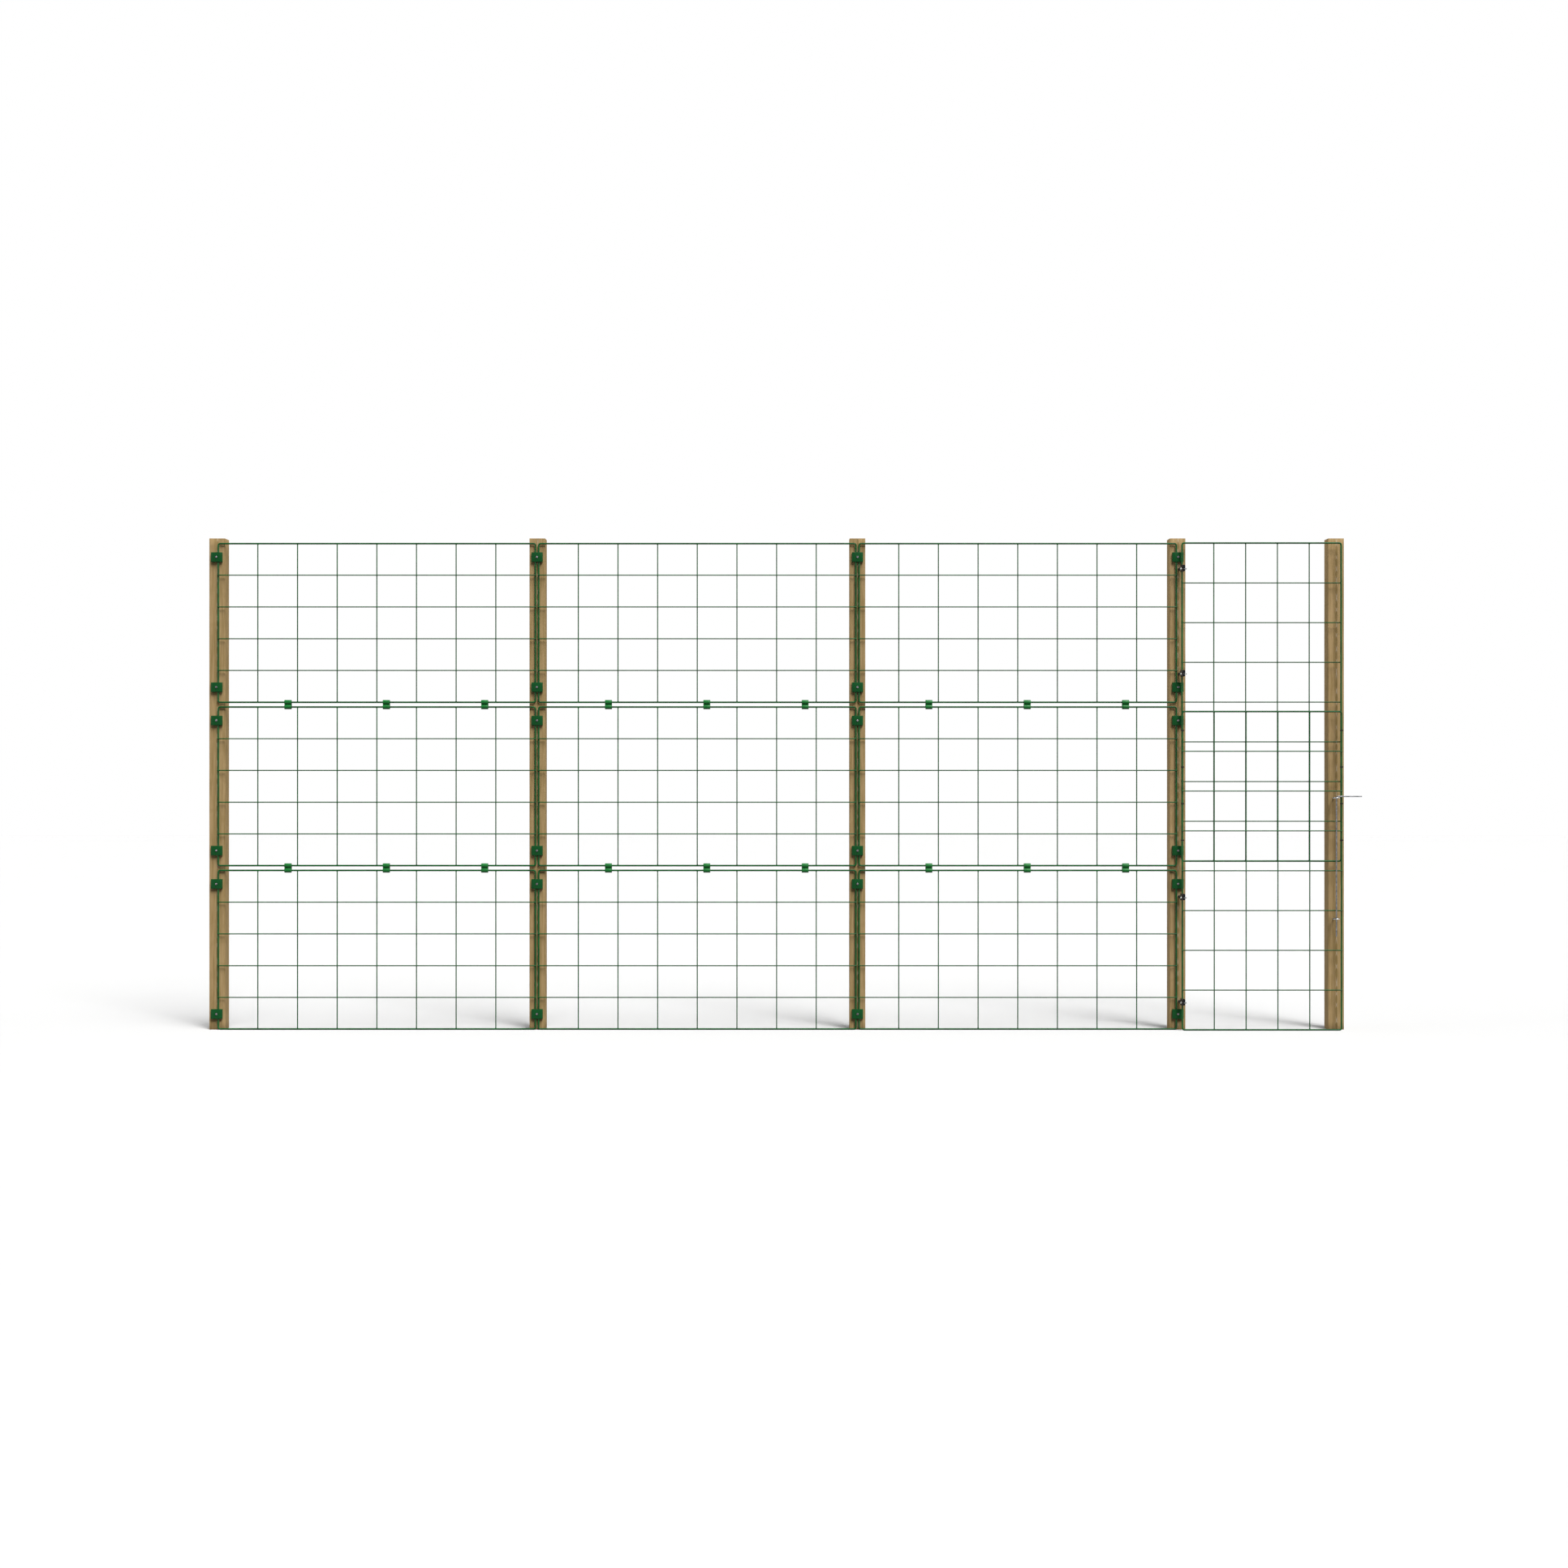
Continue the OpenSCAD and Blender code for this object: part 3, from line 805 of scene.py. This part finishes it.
hinge = {
    "pairGap": 396 * mm,
    "boreRadius": 7 * mm,
    "seam": -2.5 * mm,
    "split": 0.6 * mm,
    "height": 24 * mm,
    "right": 9 * mm,
    "back": 10 * mm,
    "front": 17 * mm,
    "edge": 0.6 * mm,
    "cornerRadius": 5 * mm,
    "seamCorner": 0.4 * mm,
    "sideCorner": 1.5 * mm,
    "boreSteps": 20,
    "layers": 36,
    "saddle": 1.1 * mm,
    "saddleReach": 4.5 * mm,
    "grooveHalf": 1.6 * mm,
    "grooveDepth": 5 * mm,
    "grooveLip": 0.3 * mm,
    "cheekThickness": 2.5 * mm,
    "cheekHeight": 27 * mm,
    "cheekCorner": 1.2 * mm,
    "cheekEdge": 0.3 * mm,
    "cheekGap": 0.2 * mm,
    "lugRadius": 9.5 * mm,
    "lugHeight": 15 * mm,
    "lugEdge": 0.5 * mm,
    "lugSteps": 24,
    "boltRadius": 2.5 * mm,
    "boltEnd": 6 * mm,
    "headRadius": 4 * mm,
    "headHeight": 4.4 * mm,
    "headRim": 0.6,
    "domeSteps": 6,
    "roundSides": 40,
    "thread": {"pitch": 0.9 * mm, "depth": 0.4 * mm, "taper": 0.8 * mm},
    "nutAcrossFlats": 8 * mm,
    "nutHeight": 4 * mm,
    "nutGap": 0.1 * mm,
    "nutChamfer": 0.93,
    "nutChamferRise": 0.06,
    "nutFlare": 1.12,
    "nutFlareDepth": 0.1,
    "pocketGap": 0.4 * mm,
    "pocketPast": 2 * mm,
    "studRadius": 3.5 * mm,
    "studThread": {"pitch": 1.6 * mm, "depth": 0.6 * mm, "taper": 6 * mm},
    "studStart": 7.3 * mm,
    "collarRadius": 5 * mm,
    "collarHeight": 3 * mm,
    "collarFoot": (0.3 * mm, 0.5 * mm),
    "collarBevel": (0.8 * mm, 1.2 * mm),
    "roughness": 0.34,
    "grain": 1600,
    "forged": paint(84, 80, 72),
    "forgedDark": paint(50, 47, 42),
    "zinc": paint(198, 199, 200),
    "zincDark": paint(150, 150, 148),
    "black": paint(22, 22, 24),
    "blackScuffed": paint(52, 52, 54),
    "blackDeep": paint(12, 12, 13),
}


# Heights of the four fittings, which stand in two pairs
def hingeHeights():
    low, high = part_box("hinge_caps")
    lowest = low.z + hinge["height"] / 2
    highest = high.z - hinge["height"] / 2
    return [lowest, lowest + hinge["pairGap"], highest - hinge["pairGap"], highest]


# How far right the plastic half reaches at a height: a full lobe above the bolt and one below it
def lobeReach(height, boltZ):
    corner = hinge["cornerRadius"]
    past = abs(height) - (hinge["height"] / 2 - corner)
    reach = hinge["right"]
    if past > 0:
        reach += math.sqrt(max(corner ** 2 - past ** 2, 0)) - corner
    nearBolt = max(0, 1 - abs(height - boltZ) / hinge["saddleReach"])
    return reach - hinge["saddle"] * math.sin(math.pi / 2 * nearBolt)


# Plastic half: its outline is pulled up in layers, with a groove across its front that shows the bolt
def plasticHalf(bm, centre, boltZ):
    left = hinge["seam"] + hinge["split"] / 2
    right = hinge["right"]
    front, back = -hinge["front"], hinge["back"]
    bore = hinge["boreRadius"]
    lean = math.degrees(math.acos(left / bore))
    outline = boxOutline(left, right, front, back, hinge["seamCorner"], hinge["sideCorner"])
    outline += arc(0, 0, bore, lean, -lean, hinge["boreSteps"])
    half = hinge["height"] / 2
    layers = hinge["layers"]
    heights = [-half * math.cos(math.pi * layer / layers) for layer in range(layers + 1)]
    groove = hinge["grooveHalf"]
    lip = groove + hinge["grooveLip"]
    crowded = lip + 0.1 * mm
    heights = [height for height in heights if abs(height - boltZ) > crowded]
    heights = sorted(heights + [boltZ - lip, boltZ - groove, boltZ, boltZ + groove, boltZ + lip])
    rings = []
    for height in heights:
        inset = max(0, hinge["edge"] - (half - abs(height))) ** 2 / hinge["edge"]
        reach = lobeReach(height, boltZ)
        inGroove = abs(height - boltZ) < groove + tiny
        frontLimit = front + (hinge["grooveDepth"] if inGroove else 0)
        ring = []
        for p in insetOutline(outline, inset):
            corner = Vector((min(p.x, reach), max(p.y, frontLimit), height))
            ring.append(bm.verts.new(centre + corner))
        rings.append(ring)
    joinRings(bm, rings)


# Steel half: a cheek plate in front of the bore and one behind it, joined by a half-round lug on their left
def steelHalf(bm, centre):
    thick = hinge["cheekThickness"]
    inner = hinge["seam"] - hinge["split"] / 2
    bore = hinge["boreRadius"]
    cheekPlace = Matrix.Translation(centre + Vector((inner - thick, 0, 0))) @ turnToX
    half = hinge["cheekHeight"] / 2
    gap = math.sqrt(bore ** 2 - inner ** 2) + hinge["cheekGap"]
    corner = hinge["cheekCorner"]
    for front, back in ((-hinge["front"], -gap), (gap, hinge["back"])):
        cheek = boxOutline(front, back, -half, half, corner, corner)
        extrudeOutline(bm, cheek, thick, hinge["cheekEdge"], cheekPlace)
    middle = inner - thick / 2
    outerTurn = math.degrees(math.acos(middle / hinge["lugRadius"]))
    innerTurn = math.degrees(math.acos(middle / bore))
    lug = arc(0, 0, hinge["lugRadius"], outerTurn, 360 - outerTurn, hinge["lugSteps"])
    lug += arc(0, 0, bore, 360 - innerTurn, innerTurn, hinge["boreSteps"])
    lugPlace = Matrix.Translation(centre - Vector((0, 0, hinge["lugHeight"] / 2)))
    extrudeOutline(bm, lug, hinge["lugHeight"], hinge["lugEdge"], lugPlace)


# Cuts the nut pockets out of the plastic halves
def cutAway(piece, cutter):
    knife = piece.modifiers.new("pocket", "BOOLEAN")
    knife.operation = "DIFFERENCE"
    knife.object = cutter
    knife.solver = "EXACT"
    shape = bpy.data.meshes.new_from_object(piece.evaluated_get(bpy.context.evaluated_depsgraph_get()))
    piece.modifiers.clear()
    piece.data = shape
    shape.set_sharp_from_angle(angle=math.radians(35))
    bpy.data.objects.remove(cutter)


def hexagon(acrossFlats):
    corner = acrossFlats / 2 / math.cos(math.radians(30))
    return [(p.x, p.y) for p in arc(0, 0, corner, 30, 330, 5)]


# Hexagon nut with its corners turned off and its bore flared at both ends
def hexNut(bm, start, axis, acrossFlats, height, bore):
    up = zAxis
    across = axis.cross(up)
    sides = 48
    sixth = math.pi / 3
    corner = acrossFlats / 2 / math.cos(math.radians(30))
    rise, chamfer = hinge["nutChamferRise"], hinge["nutChamfer"]
    rings = []
    for along, reach in ((0, chamfer), (rise, 1), (1 - rise, 1), (1, chamfer)):
        ring = []
        for k in range(sides):
            turn = 2 * math.pi * k / sides
            flat = acrossFlats / 2 / math.cos((turn + sixth / 2) % sixth - sixth / 2)
            size = min(flat, reach * corner)
            spoke = math.cos(turn) * across + math.sin(turn) * up
            ring.append(bm.verts.new(start + along * height * axis + size * spoke))
        rings.append(ring)
    flare, depth = hinge["nutFlare"], hinge["nutFlareDepth"]
    for along, size in ((1, bore * flare), (1 - depth, bore), (depth, bore), (0, bore * flare)):
        level = start + along * height * axis
        rings.append([bm.verts.new(level + a * across + b * up) for a, b in circleProfile(size, sides)])
    joinRings(bm, rings, True)


# Four fittings: steel half with its stud, plastic half, bolt and nut
def buildHinges(forged, zinc, plastic):
    joint = [j for j in frame["joints"] if j["name"] == "gate_swing"][0]
    axisX, axisY = joint["pos_m"][0], joint["pos_m"][1]
    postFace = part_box("hinge_post")[0].y
    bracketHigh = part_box("hinge_brackets")[1]
    boltY = centreOf("hinge_bolts").y
    heights = hingeHeights()
    boltZ = centreOf("hinge_nuts").z - (heights[0] + heights[-1]) / 2
    studX = bracketHigh.x - hinge["collarRadius"]
    cheekX = hinge["seam"] - hinge["split"] / 2 - hinge["cheekThickness"]
    radius, height = hinge["collarRadius"], hinge["collarHeight"]
    footRise, footIn = hinge["collarFoot"]
    bevelRise, bevelIn = hinge["collarBevel"]
    collar = [(0, 0), (0, radius - footIn), (footRise, radius)]
    collar += [(height - bevelRise, radius), (height, radius - bevelIn), (height, 0)]
    dome = [(0, 0), (0, hinge["headRadius"])]
    rim = hinge["headRim"]
    for step in range(hinge["domeSteps"] + 1):
        turn = math.pi / 2 * step / hinge["domeSteps"]
        rise = rim + (1 - rim) * math.sin(turn)
        dome.append((hinge["headHeight"] * rise, hinge["headRadius"] * math.cos(turn)))
    pocketRing = hexagon(hinge["nutAcrossFlats"] + hinge["pocketGap"])
    nutGap = hinge["nutGap"]
    nutLength = hinge["nutHeight"] - nutGap
    sides = hinge["roundSides"]
    steel = bmesh.new()
    caps = bmesh.new()
    bolts = bmesh.new()
    nuts = bmesh.new()
    pockets = bmesh.new()
    for z in heights:
        centre = Vector((axisX, axisY, z))
        steelHalf(steel, centre)
        plasticHalf(caps, centre, boltZ)
        stud = Vector((studX, bracketHigh.y, z))
        studLength = bracketHigh.y - axisY - hinge["studStart"]
        threadedBar(steel, stud, -yAxis, studLength, hinge["studRadius"], hinge["studThread"])
        lathe(steel, Vector((studX, postFace, z)), -yAxis, collar, sides)
        head = Vector((axisX + cheekX, boltY, z + boltZ))
        lathe(bolts, head, -xAxis, dome, sides)
        boltLength = hinge["right"] - cheekX + hinge["boltEnd"]
        threadedBar(bolts, head, xAxis, boltLength, hinge["boltRadius"], hinge["thread"], sides=20)
        nutStart = Vector((axisX + hinge["right"] - hinge["nutHeight"] + nutGap, boltY, z + boltZ))
        hexNut(nuts, nutStart, xAxis, hinge["nutAcrossFlats"], nutLength, hinge["boltRadius"])
        rings = []
        for reach in (-nutGap, hinge["nutHeight"] + hinge["pocketPast"]):
            rings.append([pockets.verts.new(nutStart + Vector((reach, a, b))) for a, b in pocketRing])
        joinRings(pockets, rings)
    finishPiece("hingeBrackets", steel, forged, "fence", ["hinge_brackets"])
    cap = finishPiece("hingeCaps", caps, plastic, "fence", ["hinge_caps"])
    bmesh.ops.recalc_face_normals(pockets, faces=pockets.faces)
    pocketMesh = bpy.data.meshes.new("pockets")
    pockets.to_mesh(pocketMesh)
    pockets.free()
    cutter = bpy.data.objects.new("pockets", pocketMesh)
    bpy.context.scene.collection.objects.link(cutter)
    cutAway(cap, cutter)
    finishPiece("hingeBolts", bolts, zinc, "fence", ["hinge_bolts"])
    finishPiece("hingeNuts", nuts, zinc, "fence", ["hinge_nuts"])


latch = {
    "ringRadius": 10.8 * mm,
    "wireRadius": 2.5 * mm,
    "joinTurn": 60,
    "endTurn": 116,
    "neck": 5 * mm,
    "neckSteps": 8,
    "ringSteps": 56,
    "ringSides": 20,
    "roundedTip": ((0.5, 0.87), (0.85, 0.55), (1, 0.15)),
    "thread": {"pitch": 1.8 * mm, "depth": 0.5 * mm, "taper": 8 * mm},
    "threadLength": 48 * mm,
    "rodRadius": 2.5 * mm,
    "rodBend": 8 * mm,
    "rodDome": 0.9 * mm,
    "domeSteps": 3,
    "bendSteps": 14,
    "rodSides": 24,
    "steel": paint(138, 139, 141),
    "steelDark": paint(98, 99, 101),
}


# Shank, a short neck that leans into the ring, and the ring almost closed round the rod
def buildEye(node, material):
    low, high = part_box(node)
    ring = latch["ringRadius"]
    wire = latch["wireRadius"]
    centre = Vector(((low.x + high.x) / 2, low.y + ring + wire, (low.z + high.z) / 2))
    join = math.radians(latch["joinTurn"])
    joinAt = Vector((ring * math.cos(join), ring * math.sin(join)))
    bendAt = Vector((0, joinAt.y + joinAt.x / math.tan(join)))
    neckAt = Vector((0, ring + latch["neck"]))
    flat = [Vector((0, high.y - centre.y - latch["threadLength"])), neckAt]
    for step in range(1, latch["neckSteps"]):
        share = step / latch["neckSteps"]
        flat.append((1 - share) ** 2 * neckAt + 2 * share * (1 - share) * bendAt + share ** 2 * joinAt)
    flat += arc(0, 0, ring, latch["joinTurn"], latch["endTurn"] - 360, latch["ringSteps"])
    growth = [1] * len(flat)
    endAlong = (flat[-1] - flat[-2]).normalized()
    for reach, size in latch["roundedTip"]:
        flat.append(flat[-1] + endAlong * wire * reach)
        growth.append(size)
    bm = bmesh.new()
    path = [centre + Vector((p.x, p.y, 0)) for p in flat]
    sweep(bm, path, zAxis, circleProfile(wire, latch["ringSides"]), False, growth)
    start = Vector((centre.x, high.y - latch["threadLength"], centre.z))
    threadedBar(bm, start, yAxis, latch["threadLength"], wire, latch["thread"])
    finishPiece("screwEye_" + node.split("_")[0], bm, material, "fence", [node])


# The rod stands in both eyes and bends into a handle at its top; both ends are domed
def buildRod(material):
    low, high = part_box("drop_rod")
    radius = latch["rodRadius"]
    bend = latch["rodBend"]
    dome = latch["rodDome"]
    domeSteps = latch["domeSteps"]
    middleY = (low.y + high.y) / 2
    x = low.x + radius
    top = high.z - radius
    path = []
    growth = []
    for step in range(domeSteps + 1):
        turn = math.pi / 2 * step / domeSteps
        path.append(Vector((x, middleY, low.z + dome * (1 - math.cos(turn)))))
        growth.append(1 - dome / radius * (1 - math.sin(turn)))
    for p in arc(x + bend, top - bend, bend, 180, 90, latch["bendSteps"]):
        path.append(Vector((p.x, middleY, p.y)))
        growth.append(1)
    for step in range(domeSteps + 1):
        turn = math.pi / 2 * (1 - step / domeSteps)
        path.append(Vector((high.x - dome * (1 - math.cos(turn)), middleY, top)))
        growth.append(1 - dome / radius * (1 - math.sin(turn)))
    bm = bmesh.new()
    sweep(bm, path, yAxis, circleProfile(radius, latch["rodSides"]), False, growth)
    finishPiece("dropRod", bm, material, "drop_rod", ["drop_rod"])


print("timber posts")
sawnPine = timberMaterial()
for node in allPosts:
    buildPost(node, sawnPine)

print("welded panels")
wireCoating = wireMaterial()
for bay in bays:
    for row in rows:
        tag = bay + "_" + row
        nodes = ("panel_frame_" + tag, "panel_mesh_" + tag)
        buildPanel(nodes, tag, "fence", wires["fenceCells"], -1, wireCoating)
for panel, front in zip(gatePanels, (-1, 1)):
    nodes = ("gate_frame_" + panel, "gate_mesh_" + panel)
    buildPanel(nodes, "gate_" + panel, "gate", wires["gateCells"], front, wireCoating)

print("clamps and clips")
clampPlastic = mouldedMaterial("clampPlastic", clamp, "green")
clipPlastic = mouldedMaterial("clipPlastic", clip, "green")
screwSteel = metalMaterial("screwSteel", clamp, "steel", 0.32, (1, 0.1, 1))
for node in clampedPosts:
    buildClamps(node, clampPlastic, screwSteel)
for bay in bays:
    for seamName, below, above in (("lower", "bottom", "middle"), ("upper", "middle", "top")):
        buildClips(bay, seamName, below, above, clipPlastic)

print("gate fittings")
tiePlastic = mouldedMaterial("tiePlastic", tie, "black")
blackPlastic = mouldedMaterial("blackPlastic", hinge, "black")
zincSteel = metalMaterial("zincSteel", hinge, "zinc", 0.26, (1, 1, 0.05))
rodSteel = metalMaterial("rodSteel", latch, "steel", 0.4, (1, 1, 0.05))
forgedSteel = metalMaterial("forgedSteel", hinge, "forged", 0.45, (1, 1, 0.3))
for side in ("left", "right"):
    buildTies(side, tiePlastic)
buildHinges(forgedSteel, zincSteel, blackPlastic)
for node in ("lower_screw_eye", "upper_screw_eye"):
    buildEye(node, zincSteel)
buildRod(rodSteel)

studio = {
    "floorSize": 60.0,
    "floorShade": 0.6,
    "floorBounce": 0.03,
    "floorRoughness": 0.9,
    "skyShade": 1.0,
    "skyLight": 0.1,
    "lights": {
        "key": {"towards": (-0.48, 1, -1.07), "strength": 2.5, "softness": 21},
        "high": {"towards": (-0.5, 1, -2.4), "strength": 2.9, "softness": 30},
        "leftFill": {"towards": (1, 0.12, -0.12), "strength": 2.55, "softness": 50},
        "rightFill": {"towards": (-1, 0.12, -0.12), "strength": 2.0, "softness": 50},
    },
    "lens": 50,
    "sensor": 36,
    "farthest": 200,
    "cameraBack": 8.275,
}


# Pale floor that throws little light back up on the object
def buildFloor():
    size = studio["floorSize"] / 2
    bm = bmesh.new()
    corners = [(-size, -size, 0), (size, -size, 0), (size, size, 0), (-size, size, 0)]
    bm.faces.new([bm.verts.new(corner) for corner in corners])
    mesh = bpy.data.meshes.new("studioFloor")
    bm.to_mesh(mesh)
    bm.free()
    material, tree, shader = startMaterial("studioFloor")
    place = objectPlace(tree)
    tone = cloud(tree, place, 2, 2)
    shade = studio["floorShade"]
    pale = mixColours(tree, tone, (shade, shade, shade, 1), (0.99 * shade, 0.99 * shade, 0.985 * shade, 1))
    bounce = studio["floorBounce"]
    indirect = addNode(tree, "ShaderNodeLightPath", {}).outputs["Is Diffuse Ray"]
    tree.links.new(mixColours(tree, indirect, pale, (bounce, bounce, bounce, 1)), shader.inputs["Base Color"])
    shader.inputs["Roughness"].default_value = studio["floorRoughness"]
    shader.inputs["Specular IOR Level"].default_value = 0.1
    mesh.materials.append(material)
    floor = bpy.data.objects.new("studioFloor", mesh)
    bpy.context.scene.collection.objects.link(floor)


# The sky is white to the eye and dimmer as a source, so the lights shape the object
def buildSky():
    world = bpy.data.worlds.new("studioSky")
    world.use_nodes = True
    tree = world.node_tree
    seen = addNode(tree, "ShaderNodeLightPath", {}).outputs["Is Camera Ray"]
    inputs = {"Value": seen, "To Min": studio["skyLight"], "To Max": studio["skyShade"]}
    strength = addNode(tree, "ShaderNodeMapRange", inputs).outputs["Result"]
    tree.links.new(strength, tree.nodes["Background"].inputs["Strength"])
    tree.nodes["Background"].inputs["Color"].default_value = (1, 1, 1, 1)
    bpy.context.scene.world = world


def buildLights():
    for name, light in studio["lights"].items():
        lamp = bpy.data.lights.new(name, "SUN")
        lamp.energy = light["strength"]
        lamp.angle = math.radians(light["softness"])
        holder = bpy.data.objects.new(name, lamp)
        holder.rotation_mode = "QUATERNION"
        holder.rotation_quaternion = Vector(light["towards"]).to_track_quat("-Z", "Y")
        bpy.context.scene.collection.objects.link(holder)


def buildCamera():
    low, high = cadBox
    camera = bpy.data.cameras.new("camera")
    camera.lens = studio["lens"]
    camera.sensor_width = studio["sensor"]
    camera.clip_end = studio["farthest"]
    holder = bpy.data.objects.new("camera", camera)
    holder.location = ((low.x + high.x) / 2, -studio["cameraBack"], (low.z + high.z) / 2)
    holder.rotation_euler = (math.pi / 2, 0, 0)
    bpy.context.scene.collection.objects.link(holder)
    bpy.context.scene.camera = holder


print("stage, lights and camera")
buildFloor()
buildSky()
buildLights()
buildCamera()
bpy.context.scene.view_settings.view_transform = "Standard"
bpy.context.scene.view_settings.look = "None"

print("finished")
